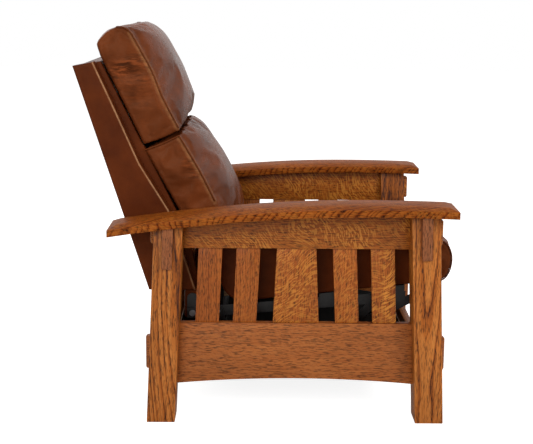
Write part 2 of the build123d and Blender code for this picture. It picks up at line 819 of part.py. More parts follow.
board_top = (board_top_forward, board_top_height)
board_foot = (board_foot_forward, board_foot_height)
board_length = math.dist(board_foot, board_top)
board_angle = math.degrees(math.atan2(board_top[1] - board_foot[1], board_top[0] - board_foot[0]))
board_back = polar(board_thickness, board_angle + 90)
board_face = outline(board_foot, board_top, shifted(board_top, board_back), shifted(board_foot, board_back))
nodes["footrest_board"] = slab(board_face, -board_bracket_x, board_bracket_x)
bracket_top = shifted(board_foot, polar(board_bracket_length, board_angle))
bracket_face = outline(
    shifted(board_pivot, polar(foot_link_half, 180 + board_angle)),
    shifted(board_pivot, polar(foot_link_half, board_angle - 90)),
    board_foot, bracket_top, shifted(bracket_top, board_back),
    shifted(board_pivot, polar(foot_link_half, board_angle + 90)),
)
board_bracket = slab(bracket_face, board_bracket_x, board_bracket_x + steel)
nodes["footrest_brackets"] = both(
    board_bracket - hole(board_pivot, board_bracket_x, board_bracket_x + steel)
)


def pad_section(rise):
    """Side view of the footrest pad at one place across its width."""
    share = pad_end_share + (1 - pad_end_share) * rise
    front = polar(soft_gap, board_angle - 90)
    foot_place, top_place = shifted(board_foot, front), shifted(board_top, front)
    brow, shoulder, nose, chin, throat = (
        shifted(shifted(board_foot, polar(place * board_length, board_angle)),
                polar(soft_gap + share * depth * pad_depth, board_angle - 90))
        for place, depth in zip(pad_place_shares, pad_depth_shares)
    )
    return make_face(
        [
            Line(foot_place, top_place), ThreePointArc(top_place, brow, shoulder),
            ThreePointArc(shoulder, nose, chin), ThreePointArc(chin, throat, foot_place),
        ]
    )


nodes["footrest_pad"] = crowned(pad_section, pad_half)

# Everything but the oak sides goes up to its height above the floor
for name in nodes:
    if name not in oak_names:
        nodes[name] = Pos(0, 0, seat_bottom_height) * nodes[name]

# The origin goes under the middle of the whole chair, and each piece is written out
whole = group(nodes.values()).bounding_box()
middle = Pos(-whole.center().X, -whole.center().Y, 0)
for name, solid in nodes.items():
    export_step(middle * solid, f"parts/{name}.step")

print("moved by", [round(x, 4) for x in middle.position])
print("size", [round(x, 2) for x in whole.size])
for name, place in (
    ("hinge", hinge), ("foot_pivot", foot_pivot), ("knee", knee), ("board_pivot", board_pivot),
    ("rear_base", base_pivots[0]), ("front_base", base_pivots[1]),
    ("rear_seat", seat_pivots[0]), ("front_seat", seat_pivots[1]),
):
    print(name, round(-place[0] + middle.position.Y, 4), round(place[1] + seat_bottom_height, 4))
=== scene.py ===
"""Mission reclining armchair: its looks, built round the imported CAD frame.

Outlines are written as (forward, up) in millimetres, measured from the floor midway between the
front and rear feet, as the chair is measured from its side. spot() puts them in the shared frame.
"""
import json
import math

import bmesh
import bpy
import numpy as np
from mathutils import Matrix, Vector


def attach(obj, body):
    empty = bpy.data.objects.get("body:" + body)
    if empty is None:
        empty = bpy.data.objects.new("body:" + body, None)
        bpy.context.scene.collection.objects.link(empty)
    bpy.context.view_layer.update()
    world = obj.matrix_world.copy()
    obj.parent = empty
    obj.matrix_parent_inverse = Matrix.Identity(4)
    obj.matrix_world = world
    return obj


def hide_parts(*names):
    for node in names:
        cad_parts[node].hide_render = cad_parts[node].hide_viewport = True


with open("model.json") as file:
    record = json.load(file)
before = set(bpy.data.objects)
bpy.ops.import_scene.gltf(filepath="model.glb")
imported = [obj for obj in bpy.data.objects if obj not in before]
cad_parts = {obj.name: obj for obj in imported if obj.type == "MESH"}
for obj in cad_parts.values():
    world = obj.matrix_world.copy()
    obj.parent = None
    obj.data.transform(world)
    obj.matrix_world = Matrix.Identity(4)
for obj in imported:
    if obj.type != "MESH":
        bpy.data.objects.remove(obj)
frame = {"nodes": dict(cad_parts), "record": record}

scene = bpy.context.scene
scene.view_settings.view_transform = "Standard"
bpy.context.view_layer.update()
chair_middle = 87.5672       # forward place of the whole chair's middle

TIMES, PLUS, TIMES_PLUS, WHOLE = (
    {"operation": "MULTIPLY"}, {"operation": "ADD"}, {"operation": "MULTIPLY_ADD"}, {"operation": "FRACT"})
MIX, DARKEN = ({"data_type": "RGBA", "blend_type": kind} for kind in ("MIX", "MULTIPLY"))


# Places and meshes

def spot(forward, up, across):
    """Millimetres forward, up and to the sitter's left become metres in the shared frame."""
    forward, up, across = np.broadcast_arrays(forward, up, across)
    return np.stack([across, -forward - chair_middle, up], -1) / 1000.0


def piece(name, points, faces):
    """A smooth-shaded mesh object from an array of points and a list of faces."""
    mesh = bpy.data.meshes.new(name)
    mesh.from_pydata(np.asarray(points).reshape(-1, 3).tolist(), [], faces)
    mesh.shade_smooth()
    made = bpy.data.objects.new(name, mesh)
    scene.collection.objects.link(made)
    return made


def outward(made):
    """Merges a closed mesh's doubled points and turns its faces outwards."""
    work = bmesh.new()
    work.from_mesh(made.data)
    bmesh.ops.remove_doubles(work, verts=work.verts, dist=1e-6)
    bmesh.ops.recalc_face_normals(work, faces=work.faces)
    work.to_mesh(made.data)
    work.free()
    made.data.shade_smooth()
    return made


def grid_faces(rows, columns, around):
    """The quads of a grid of points, joined from its last column to its first if it goes around."""
    r, c = np.meshgrid(np.arange(rows - 1), np.arange(columns if around else columns - 1), indexing="ij")
    after = (c + 1) % columns
    quads = (r * columns + c, r * columns + after, (r + 1) * columns + after, (r + 1) * columns + c)
    return np.stack(quads, -1).reshape(-1, 4).tolist()


def skin(name, rings):
    """A closed skin through rings of equal count, with a face over its first and its last ring."""
    rows, columns = rings.shape[:2]
    ends = [list(range(columns))[::-1], [(rows - 1) * columns + i for i in range(columns)]]
    return outward(piece(name, rings, grid_faces(rows, columns, True) + ends))


def even(line, count, closed=False):
    """A broken line with its points moved to equal steps of length along it."""
    line = np.asarray(line, float)
    if closed:
        line = np.vstack([line, line[:1]])
    run = np.concatenate([[0], np.cumsum(np.linalg.norm(np.diff(line, axis=0), axis=1))])
    at = np.linspace(0, run[-1], count, endpoint=not closed)
    return np.stack([np.interp(at, run, line[:, k]) for k in range(line.shape[1])], -1)


def curve(points, count):
    """A curve through the points given: cubic pieces whose slopes are those of the chords beside them."""
    p = np.asarray(points, float)
    if len(p) == 2:
        return even(p, count)
    run = np.concatenate([[0], np.cumsum(np.sqrt(np.linalg.norm(np.diff(p, axis=0), axis=1)))])
    slope = np.gradient(p, run, axis=0)
    at = np.linspace(0, run[-1], 400)
    i = np.clip(np.searchsorted(run, at, "right") - 1, 0, len(p) - 2)
    width = (run[i + 1] - run[i])[:, None]
    t = (at - run[i])[:, None] / width
    smooth = ((2 * t**3 - 3 * t**2 + 1) * p[i] + (t**3 - 2 * t**2 + t) * width * slope[i]
              + (3 * t**2 - 2 * t**3) * p[i + 1] + (t**3 - t**2) * width * slope[i + 1])
    return even(smooth, count)


def cord(name, path, radius, closed, sides=8):
    """A round cord: at each point of the path a circle stands square to the path's direction."""
    path = np.asarray(path, float)
    ahead = np.roll(path, -1, 0) - np.roll(path, 1, 0) if closed else np.gradient(path, axis=0)
    ahead /= np.linalg.norm(ahead, axis=1)[:, None]
    guide = np.where(np.abs(ahead[:, :1]) < 0.9, [[1.0, 0, 0]], [[0, 0, 1.0]])
    one = np.cross(ahead, guide)
    one /= np.linalg.norm(one, axis=1)[:, None]
    two = np.cross(ahead, one)
    turn = np.linspace(0, 2 * math.pi, sides, endpoint=False)[None, :, None]
    rings = path[:, None] + radius * (np.cos(turn) * one[:, None] + np.sin(turn) * two[:, None])
    if not closed:
        return skin(name, rings)
    return outward(piece(name, np.concatenate([rings, rings[:1]]), grid_faces(len(rings) + 1, sides, True)))


def points_of(made, kind="co"):
    """A mesh's points, or its normals, as an array."""
    got = np.zeros(len(made.data.vertices) * 3)
    made.data.vertices.foreach_get(kind, got)
    return got.reshape(-1, 3)


def to_seam(points, seams):
    """How far each point is from the nearest seam in millimetres, and how far along it that is."""
    line = np.concatenate(seams)
    run = np.concatenate([
        np.concatenate([[0], np.cumsum(np.linalg.norm(np.diff(seam, axis=0), axis=1))]) for seam in seams])
    squares = (points ** 2).sum(1)[:, None] + (line ** 2).sum(1)[None] - 2 * points @ line.T
    nearest = squares.argmin(1)
    return np.sqrt(np.maximum(squares.min(1), 0)) * 1000, run[nearest]


def mark(made, **values):
    """Writes numbers or vectors for the material to read: one for the whole piece or one for each point."""
    count = len(made.data.vertices)
    for name, value in values.items():
        value = np.asarray(value, np.float32)
        vector = value.shape[-1:] == (3,)
        spread = np.broadcast_to(value, (count, 3) if vector else (count,))
        made.data.attributes.new(name, "FLOAT_VECTOR" if vector else "FLOAT", "POINT").data.foreach_set(
            "vector" if vector else "value", np.ascontiguousarray(spread).ravel())


def dress(made, material, body, slot, *replaced):
    """Gives a piece its finish and its body, and hides the CAD nodes that it stands for. The slot is not used.
    """
    made.data.materials.clear()
    made.data.materials.append(material)
    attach(made, body)
    if replaced:
        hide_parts(*replaced)


# Materials

def tone(value):
    """An sRGB hex colour as linear red, green, blue and alpha."""
    parts = [int(value[i:i + 2], 16) / 255 for i in (1, 3, 5)]
    return [p / 12.92 if p <= 0.04045 else ((p + 0.055) / 1.055) ** 2.4 for p in parts] + [1.0]


def grey(level):
    """An even grey of a linear level."""
    return [level, level, level, 1.0]


def new_material(name):
    """A named material with an empty node tree."""
    made = bpy.data.materials.new(name)
    made.use_nodes = True
    made.node_tree.nodes.clear()
    return made, made.node_tree


def add(tree, kind, settings=None, stops=(), **inputs):
    """Adds a node with its settings, a ramp's stops, and its inputs as values, sockets or nodes."""
    node = tree.nodes.new("ShaderNode" + kind)
    for key, value in (settings or {}).items():
        setattr(node, key, value)
    for index, (place, colour) in enumerate(stops):
        elements = node.color_ramp.elements
        element = elements[index] if index < 2 else elements.new(place)
        element.position, element.color = place, colour
    for key, value in inputs.items():
        socket = node.inputs[int(key[1:]) if key[1:].isdigit() else key.replace("_", " ")]
        if isinstance(value, bpy.types.Node):
            value = next(output for output in value.outputs if output.enabled)
        if isinstance(value, bpy.types.NodeSocket):
            tree.links.new(value, socket)
        else:
            socket.default_value = value
    return node


def oak(name, along, dark, middle, light, ring_mm, lean, ray, ray_bend, gloss, shine=0.2):
    """Oak, planed, stained brown and lacquered satin.

    Rings are circles round a heart line beside the board, a little out of line with it, so the eye
    gets cathedrals on plain-sawn faces, straight lines on quarter-sawn ones and arcs on the ends.
    Where a ring starts the wood is coarse and dark. Open pores are dark dashes, really 0.3 by 5 mm,
    drawn 2 by 20 mm so that they show. Rays are pale ribbons 3 mm wide that cross the grain.
    """
    material, tree = new_material(name)
    board = add(tree, "Attribute", {"attribute_name": "board"}).outputs["Vector"]
    moved = add(tree, "VectorMath", PLUS, i0=add(tree, "TexCoord").outputs["Object"], i1=board)
    turn = {"x": (0, math.pi / 2, 0), "y": (math.pi / 2, 0, 0), "z": (0, 0, 0)}[along]
    grain = add(tree, "Mapping", Vector=moved, Rotation=turn)
    sway = add(tree, "TexNoise", Vector=add(tree, "Mapping", Vector=grain, Scale=(8, 8, 2)),
               Scale=1.0, Detail=2.0)
    drift = add(tree, "VectorMath", TIMES_PLUS, i0=sway.outputs["Color"], i1=(0.03, 0.03, 0), i2=grain)
    x, y, z = add(tree, "SeparateXYZ", Vector=drift).outputs
    across = add(tree, "Math", TIMES_PLUS, i0=z, i1=lean, i2=x)
    squares = add(tree, "Math", TIMES_PLUS, i0=across, i1=across, i2=add(tree, "Math", TIMES, i0=y, i1=y))
    radius = add(tree, "Math", {"operation": "SQRT"}, i0=squares)
    years = add(tree, "TexNoise", {"noise_dimensions": "1D"}, W=radius, Scale=50.0, Detail=2.0)
    rings = add(tree, "Math", TIMES, i0=radius, i1=1000 / ring_mm)
    phase = add(tree, "Math", TIMES_PLUS, i0=years, i1=3.0, i2=rings)
    ring = add(tree, "ValToRGB", Fac=add(tree, "Math", WHOLE, i0=phase), stops=[
        (0.0, grey(0.05)), (0.1, grey(0.2)), (0.32, grey(0.8)), (0.85, grey(1.0)), (1.0, grey(0.25))])
    fine = add(tree, "TexNoise", Vector=add(tree, "Mapping", Vector=drift, Scale=(190, 190, 7)), Scale=1.0,
               Detail=3.0, Roughness=0.6)
    figure = add(tree, "Math", TIMES_PLUS, i0=ring, i1=0.5, i2=add(tree, "Math", TIMES, i0=fine, i1=0.7))
    base = add(tree, "ValToRGB", Fac=figure,
               stops=[(0.3, tone(dark)), (0.62, tone(middle)), (0.98, tone(light))])
    dashes = add(tree, "TexNoise", Vector=add(tree, "Mapping", Vector=grain, Scale=(480, 480, 55)),
               Scale=1.0, Detail=1.0)
    pores = add(tree, "ValToRGB", Fac=dashes, stops=[(0.38, grey(0.1)), (0.48, grey(1.0))])
    open_grain = add(tree, "Math", TIMES_PLUS, i0=ring, i1=-0.35, i2=0.95)
    base = add(tree, "Mix", DARKEN, i0=open_grain, i6=base, i7=pores)
    bend = add(tree, "TexNoise", Vector=add(tree, "Mapping", Vector=grain, Scale=(11, 11, 7)),
               Scale=1.0, Detail=1.0)
    bent = add(tree, "VectorMath", TIMES_PLUS, i0=bend.outputs["Color"], i1=(ray_bend,) * 3, i2=grain)
    ribbons = add(tree, "TexNoise", Vector=add(tree, "Mapping", Vector=add(
        tree, "Mapping", Vector=bent, Rotation=(0.6, 0.45, 0)), Scale=(55, 55, 310)), Scale=1.0, Detail=1.0)
    patches = add(tree, "TexNoise", Vector=add(tree, "Mapping", Vector=grain, Scale=(15, 15, 9)),
               Scale=1.0, Detail=1.0)
    rays = add(tree, "Math", TIMES,
               i0=add(tree, "ValToRGB", Fac=ribbons, stops=[(0.5, grey(0.0)), (0.57, grey(1.0))]),
               i1=add(tree, "ValToRGB", Fac=patches, stops=[(0.36, grey(0.25)), (0.58, grey(1.0))]))
    strength = add(tree, "Attribute", {"attribute_name": "figure"}).outputs["Fac"]
    base = add(tree, "Mix", MIX, i0=add(tree, "Math", TIMES, i0=rays, i1=strength), i6=base, i7=tone(ray))
    cloud = add(tree, "TexNoise", Vector=add(tree, "Mapping", Vector=grain, Scale=(9, 9, 3)),
               Scale=1.0, Detail=2.0)
    shade = add(tree, "Math", TIMES, i0=add(tree, "Attribute", {"attribute_name": "shade"}).outputs["Fac"],
                i1=add(tree, "Math", TIMES_PLUS, i0=cloud, i1=0.5, i2=0.75))
    base = add(tree, "VectorMath", {"operation": "SCALE"}, i0=base, Scale=shade)
    relief = add(tree, "Math", TIMES_PLUS, i0=pores, i1=0.8, i2=add(tree, "Math", TIMES, i0=fine, i1=0.4))
    shader = add(tree, "BsdfPrincipled", Base_Color=base, IOR=1.5, Coat_Weight=0.02, Coat_Roughness=0.2,
                 Specular_IOR_Level=shine,
                 Roughness=add(tree, "Math", TIMES_PLUS, i0=fine, i1=0.15, i2=gloss - 0.07),
                 Normal=add(tree, "Bump", Strength=0.25, Distance=0.0006, Height=relief))
    add(tree, "OutputMaterial", Surface=shader)
    return material


def leather(name, dark, light, painted_highlight_tone, gloss):
    """Waxed pull-up leather, dyed red-brown.

    It is mottled and dark in the seams, with a painted highlight beside them: a pale tone in a broken
    line that stands in for gloss. The pebble grain is cells of 1.5 mm. Puckers run square to each seam
    and die away in 26 mm, and where a piece is folded, creases 8 mm apart get painted shade in their
    hollows and a painted highlight on their crests. The index of refraction is low, so that a pale room
    doesn't grey it.
    """
    material, tree = new_material(name)
    place = add(tree, "TexCoord").outputs["Object"]
    warp = add(tree, "TexNoise", Vector=place, Scale=35.0, Detail=2.0).outputs["Color"]
    moved = add(tree, "VectorMath", TIMES_PLUS, i0=warp, i1=(0.01, 0.01, 0.01), i2=place)
    pebble = add(tree, "TexVoronoi", {"feature": "DISTANCE_TO_EDGE"}, Vector=moved, Scale=660.0)
    cells = add(tree, "ValToRGB", Fac=pebble, stops=[(0.0, grey(0.0)), (0.25, grey(1.0))])
    cloud = add(tree, "TexNoise", Vector=place, Scale=8.0, Detail=5.0, Roughness=0.6)
    near = add(tree, "Attribute", {"attribute_name": "gather"}).outputs["Fac"]
    along = add(tree, "Attribute", {"attribute_name": "along"}).outputs["Fac"]
    base = add(tree, "ValToRGB", Fac=cloud, stops=[(0.28, tone(dark)), (0.72, tone(light))])
    base = add(tree, "Mix", DARKEN, i0=0.35, i6=base, i7=add(
        tree, "ValToRGB", Fac=cells, stops=[(0.0, grey(0.5)), (1.0, grey(1.0))]))
    broken = add(tree, "TexNoise", Vector=moved, Scale=70.0, Detail=4.0, Roughness=0.65)
    # Painted highlight: a pale tone in a broken line where the piece is marked, standing in for gloss.
    pulled = add(tree, "Math", TIMES, i0=add(tree, "Attribute", {"attribute_name": "pulled"}).outputs["Fac"],
                 i1=add(tree, "Math", TIMES_PLUS, i0=broken, i1=1.6, i2=0.2))
    rubs_and_painted_highlight = add(tree, "ValToRGB", Fac=pulled, stops=[(0.2, grey(0.0)), (1.0, grey(0.45))])
    base = add(tree, "Mix", MIX, i0=rubs_and_painted_highlight, i6=base, i7=tone(painted_highlight_tone))
    folded = add(tree, "Attribute", {"attribute_name": "folded"}).outputs["Fac"]
    # Where folded, painted shade darkens the creases' hollows and a painted highlight lightens their crests.
    creases = add(tree, "TexNoise", Vector=add(tree, "Mapping", Vector=moved, Rotation=(0.15, 0, 0),
                  Scale=(22, 24, 130)), Scale=1.0, Detail=3.0, Roughness=0.6)
    base = add(tree, "Mix", DARKEN, i0=folded, i6=base, i7=add(
        tree, "ValToRGB", Fac=creases, stops=[(0.38, grey(0.35)), (0.5, grey(1.0)), (0.62, grey(2.2))]))
    base = add(tree, "Mix", DARKEN, i0=1.0, i6=base, i7=add(
        tree, "ValToRGB", Fac=near, stops=[(0.86, grey(1.0)), (0.97, grey(0.25))]))
    jitter = add(tree, "TexNoise", {"noise_dimensions": "1D"}, W=along, Scale=90.0, Detail=3.0, Roughness=0.6)
    puckers = add(tree, "Math", TIMES, i0=jitter, i1=add(tree, "Math", TIMES, i0=near, i1=near))
    deep = add(tree, "Math", TIMES_PLUS, i0=folded, i1=1.8, i2=0.3)
    soft = add(tree, "Math", TIMES_PLUS, i0=creases, i1=deep, i2=add(tree, "Math", TIMES, i0=cells, i1=0.12))
    relief = add(tree, "Math", TIMES_PLUS, i0=puckers, i1=2.2, i2=soft)
    shader = add(tree, "BsdfPrincipled", Base_Color=base, IOR=1.16, Specular_IOR_Level=0.5,
                 Specular_Tint=tone("#ffe2c0"),
                 Roughness=add(tree, "Math", TIMES_PLUS, i0=cloud, i1=0.2, i2=gloss - 0.1),
                 Normal=add(tree, "Bump", Strength=0.6, Distance=0.0015, Height=relief))
    add(tree, "OutputMaterial", Surface=shader)
    return material


def steel(name, colour, rubs_and_painted_highlight, metallic, rough):
    """Sheet steel, enamelled black with slight orange peel and greyed rubs, or zinc plated and mottled."""
    material, tree = new_material(name)
    place = add(tree, "TexCoord").outputs["Object"]
    patch = add(tree, "TexNoise", Vector=place, Scale=60.0, Detail=6.0, Roughness=0.65)
    shader = add(tree, "BsdfPrincipled", Metallic=metallic,
                 Base_Color=add(tree, "ValToRGB", Fac=patch, stops=[(0.45, tone(colour)), (0.8, tone(rubs_and_painted_highlight))]),
                 Roughness=add(tree, "Math", TIMES_PLUS, i0=patch, i1=0.25, i2=rough),
                 Normal=add(tree, "Bump", Strength=0.15, Distance=0.0004, Height=add(
                     tree, "TexNoise", Vector=place, Scale=900.0, Detail=2.0)))
    add(tree, "OutputMaterial", Surface=shader)
    return material


def poplar_planed():
    """Planed poplar of the inner frame, pale and dry, with a soft straight grain 8 mm apart."""
    material, tree = new_material("poplar_planed_inner_frame")
    grain = add(tree, "TexNoise", Vector=add(tree, "Mapping", Vector=add(tree, "TexCoord").outputs["Object"],
                Scale=(6, 125, 125)), Scale=1.0, Detail=4.0, Roughness=0.6)
    shader = add(tree, "BsdfPrincipled", Roughness=0.62,
                 Base_Color=add(tree, "ValToRGB", Fac=grain,
                                stops=[(0.3, tone("#6f5433")), (0.7, tone("#a98a5d"))]),
                 Normal=add(tree, "Bump", Strength=0.2, Distance=0.0005, Height=grain))
    add(tree, "OutputMaterial", Surface=shader)
    return material


def webbing_woven():
    """Woven elastic webbing, black with tan stripes, its threads 3 mm apart each way."""
    material, tree = new_material("webbing_woven_elastic")
    x, y, z = add(tree, "SeparateXYZ", Vector=add(tree, "TexCoord").outputs["Object"]).outputs
    threads = 2 * math.pi / 0.003
    rib = add(tree, "Math", {"operation": "SINE"}, i0=add(tree, "Math", TIMES, i0=y, i1=threads))
    weft = add(tree, "Math", {"operation": "SINE"}, i0=add(tree, "Math", TIMES, i0=x, i1=threads))
    wide = add(tree, "Math", {"operation": "SINE"}, i0=add(tree, "Math", TIMES, i0=x, i1=2 * math.pi / 0.023))
    stripe = add(tree, "Math", {"operation": "GREATER_THAN"}, i0=wide, i1=0.86)
    shader = add(tree, "BsdfPrincipled", Roughness=0.85,
                 Base_Color=add(tree, "Mix", MIX, i0=stripe, i6=tone("#1b1a19"), i7=tone("#5f4a2d")),
                 Normal=add(tree, "Bump", Strength=0.6, Distance=0.0006,
                            Height=add(tree, "Math", TIMES, i0=rib, i1=weft)))
    add(tree, "OutputMaterial", Surface=shader)
    return material


def cambric_black():
    """Bonded black cambric, the thin dust cloth under the seat: matt, with a faint dimple every 4 mm."""
    material, tree = new_material("cambric_black_bonded")
    dimples = add(tree, "TexVoronoi", Vector=add(tree, "TexCoord").outputs["Object"], Scale=250.0)
    shader = add(tree, "BsdfPrincipled", Roughness=0.9, Specular_IOR_Level=0.2,
                 Base_Color=add(tree, "ValToRGB", Fac=dimples,
                                stops=[(0.1, tone("#0e0d0c")), (0.6, tone("#191716"))]),
                 Normal=add(tree, "Bump", Strength=0.4, Distance=0.0005, Height=dimples))
    add(tree, "OutputMaterial", Surface=shader)
    return material


post_oak = oak("oak_plain_sawn_posts", "z",
               "#4a1d03", "#9f5518", "#bb7434", 8.5, 0.035, "#cf8c4c", 0.02, 0.4)
slat_oak = oak("oak_quarter_sawn_slats", "z",
               "#5a2507", "#8f4611", "#a95f26", 3.4, 0.02, "#cd8634", 0.08, 0.4)
upper_oak = oak("oak_quarter_sawn_upper_rails", "y",
                "#4a1f02", "#8a4410", "#a35e20", 3.6, 0.02, "#c98434", 0.07, 0.4)
lower_oak = oak("oak_straight_grain_lower_rails", "y",
                "#693010", "#9c5422", "#ad6832", 2.8, 0.01, "#b87c4c", 0.02, 0.46)
arm_oak = oak("oak_flame_grain_arms", "y",
              "#441601", "#823b0a", "#a35a1e", 5.5, 0.3, "#b06c28", 0.03, 0.5, 0.06)
corbel_oak = oak("oak_fine_grain_corbels", "z",
                 "#5d2f16", "#874a26", "#9c623c", 2.4, 0.08, "#a86c46", 0.02, 0.46)
cross_oak = oak("oak_plain_stretchers", "x",
                "#4e2106", "#8c4a18", "#a8632a", 4.0, 0.02, "#b87438", 0.02, 0.45)
# The third colour of each leather is the pale tone of its painted highlight.
cushion_hide = leather("leather_waxed_cushions", "#50250f", "#7a3d1e", "#a9764c", 0.26)
panel_hide = leather("leather_waxed_panels", "#4b1e0c", "#693013", "#d6a478", 0.32)
black_steel = steel("steel_black_enamel", "#0b0b0b", "#262422", 0.0, 0.3)
zinc_steel = steel("steel_zinc_plated", "#8d8f92", "#b5b7ba", 1.0, 0.25)
poplar, webbing, cambric = poplar_planed(), webbing_woven(), cambric_black()


# Camera, floor and light

camera_data = bpy.data.cameras.new("camera")
camera = bpy.data.objects.new("camera", camera_data)
scene.collection.objects.link(camera)
scene.camera = camera
camera_data.sensor_width = 36.0
camera_data.lens = 1046.52 * 36.0 / 533     # the focal length in pixels of a picture 533 wide
camera_data.shift_y = -0.1
sideways = Vector((-0.008092, -0.999924, 0.009349))
upward = Vector((0.161252, 0.007923, 0.986882))
backward = Vector((-0.986880, 0.009493, 0.161175))
camera.matrix_world = Matrix.Translation((-3.126176, 0.023349, 1.153684)) @ Matrix(
    (sideways, upward, backward)).transposed().to_4x4()

scene.world = bpy.data.worlds.new("studio")
scene.world.use_nodes = True
tree = scene.world.node_tree
tree.nodes.clear()
rays = add(tree, "LightPath").outputs
mirrored = add(tree, "Math", {"operation": "MAXIMUM"}, i0=rays["Is Glossy Ray"], i1=rays["Is Transmission Ray"])
seen = add(tree, "Math", {"operation": "MAXIMUM"}, i0=rays["Is Camera Ray"], i1=mirrored)
add(tree, "OutputWorld", Surface=add(
    tree, "MixShader", i0=seen, i1=add(tree, "Background", Color=tone("#f4f2ee"), Strength=0.45),
    i2=add(tree, "Background", Color=grey(1.0), Strength=1.0)))

floor_paint, tree = new_material("floor_pale_paint")
rays = add(tree, "LightPath").outputs
strength = add(tree, "Math", TIMES, i0=rays["Is Camera Ray"], i1=0.85)
add(tree, "OutputMaterial", Surface=add(
    tree, "AddShader", i0=add(tree, "BsdfDiffuse", Color=grey(0.8)),
    i1=add(tree, "Emission", Color=grey(1.0), Strength=strength)))
floor = piece("floor", [(-14, -14, 0), (14, -14, 0), (14, 14, 0), (-14, 14, 0)], [(0, 1, 2, 3)])
floor.data.materials.append(floor_paint)

for name, place, size, power in (
        ("key_front", (-2.4, -2.8, 2.6), 1.2, 70), ("fill_camera", (-3.4, 1.2, 2.0), 1.6, 48),
        ("top", (0.3, 0.3, 3.4), 2.0, 22), ("rim_rear", (2.4, 2.6, 2.3), 1.6, 28)):
    lamp_data = bpy.data.lights.new(name, "AREA")
    lamp_data.size, lamp_data.energy = size, power
    lamp = bpy.data.objects.new(name, lamp_data)
    scene.collection.objects.link(lamp)
    lamp.matrix_world = Matrix.Translation(place) @ (
        Vector((0, 0, 0.5)) - Vector(place)).to_track_quat("-Z", "Y").to_matrix().to_4x4()


# Oak boards with eased arrises

def eased(node, width_mm, material, heart, figure, shade, slot="quartersawn_oak", body="frame", segments=2):
    """A copy of a CAD board, its arrises rounded over, and marked for its own grain.

    The heart is where the log's middle lay from the board's middle, in metres, and the pattern is
    also slid along by a number made from the board's place, so that no two boards match.
    """
    made = bpy.data.objects.new(node + "_eased", frame["nodes"][node].data.copy())
    scene.collection.objects.link(made)
    work = bmesh.new()
    work.from_mesh(made.data)
    bmesh.ops.remove_doubles(work, verts=work.verts, dist=1e-5)
    bmesh.ops.dissolve_limit(work, angle_limit=math.radians(0.4), verts=work.verts, edges=work.edges)
    sharp = [e for e in work.edges if len(e.link_faces) == 2 and e.calc_face_angle(0) > math.radians(20)]
    bmesh.ops.bevel(work, geom=sharp, offset=width_mm / 1000, segments=segments, profile=0.5,
                    affect="EDGES", clamp_overlap=True)
    for face in work.faces:
        face.smooth = True
    for edge in work.edges:
        edge.smooth = not (len(edge.link_faces) == 2 and edge.calc_face_angle(0) > math.radians(35))
    bmesh.ops.triangulate(work, faces=[f for f in work.faces if len(f.verts) > 4])
    work.to_mesh(made.data)
    work.free()
    if "custom_normal" in made.data.attributes:
        made.data.attributes.remove(made.data.attributes["custom_normal"])
    points = points_of(made)
    middle = (points.min(0) + points.max(0)) / 2
    slide = np.modf(np.abs(middle) * (37.7, 53.3, 71.9))[0] * 0.9
    along = {"x": (1, 0, 0), "y": (0, 1, 0), "z": (0, 0, 1)}[material.get("along", "z")]
    mark(made, board=-(middle + np.array(heart)) + slide.sum() * np.array(along), figure=figure, shade=shade)
    dress(made, material, body, slot, node)
    return made


post_oak["along"] = slat_oak["along"] = corbel_oak["along"] = "z"
upper_oak["along"] = lower_oak["along"] = arm_oak["along"] = "y"
cross_oak["along"] = "x"
for side, s in (("left", 1), ("right", -1)):
    eased(f"{side}_front_post", 1.8, post_oak, (s * -0.085, 0.02, 0), 0.0, 1.06)
    eased(f"{side}_rear_post", 1.8, post_oak, (s * -0.075, -0.025, 0), 0.0, 1.0)
    eased(f"{side}_arm", 1.6, arm_oak, (s * -0.12, 0.0, -0.09), 0.3, 0.92)
    # Upper rails: 1.09 is their own tone. The 0.08 more on the left, far rail and 0.08 less on the right, near
    # one is painted light, making up for the far rail's shade.
    eased(f"{side}_upper_rail", 1.0, upper_oak, (s * 0.02, 0, -0.35), 0.5, 1.09 + 0.08 * s)
    eased(f"{side}_lower_rail", 1.0, lower_oak, (s * 0.02, 0, -0.45), 0.1, 1.0)
    eased(f"{side}_front_corbel", 1.2, corbel_oak, (s * 0.1, 0.2, 0), 0.1, 1.0)
    eased(f"{side}_rear_corbel", 1.2, corbel_oak, (s * 0.1, -0.2, 0), 0.1, 1.0)
    for number, figure, shade in (
            (1, 0.05, 1.0), (2, 0.1, 1.03), (3, 0.5, 1.08), (4, 0.3, 1.12), (5, 0.75, 1.0)):
        eased(f"{side}_slat_{number}", 0.8, slat_oak, (0.015, 0.35 + 0.03 * number, 0), figure, shade)
for name in ("front_stretcher", "rear_stretcher"):
    eased(name, 0.8, cross_oak, (0, 0.08, 0.1), 0.1, 1.0)

finishes = {"black_steel": black_steel, "zinc_steel": zinc_steel, "inner_hardwood": poplar,
            "webbing": webbing, "leather_panel": panel_hide}
for entry in frame["record"]["subparts"]:
    if entry["material_slot"] in finishes:
        kept = frame["nodes"][entry["node"]].data.materials
        kept.clear()
        kept.append(finishes[entry["material_slot"]])


# Leather boards

def crossed(count, close):
    """Places from 0 to 1 that crowd towards both ends, so that rounded rims get enough points."""
    rim = close * (1 - np.cos(np.linspace(0, math.pi / 2, 6)))
    return np.concatenate([rim, np.linspace(close, 1 - close, count)[1:-1], 1 - rim[::-1]])


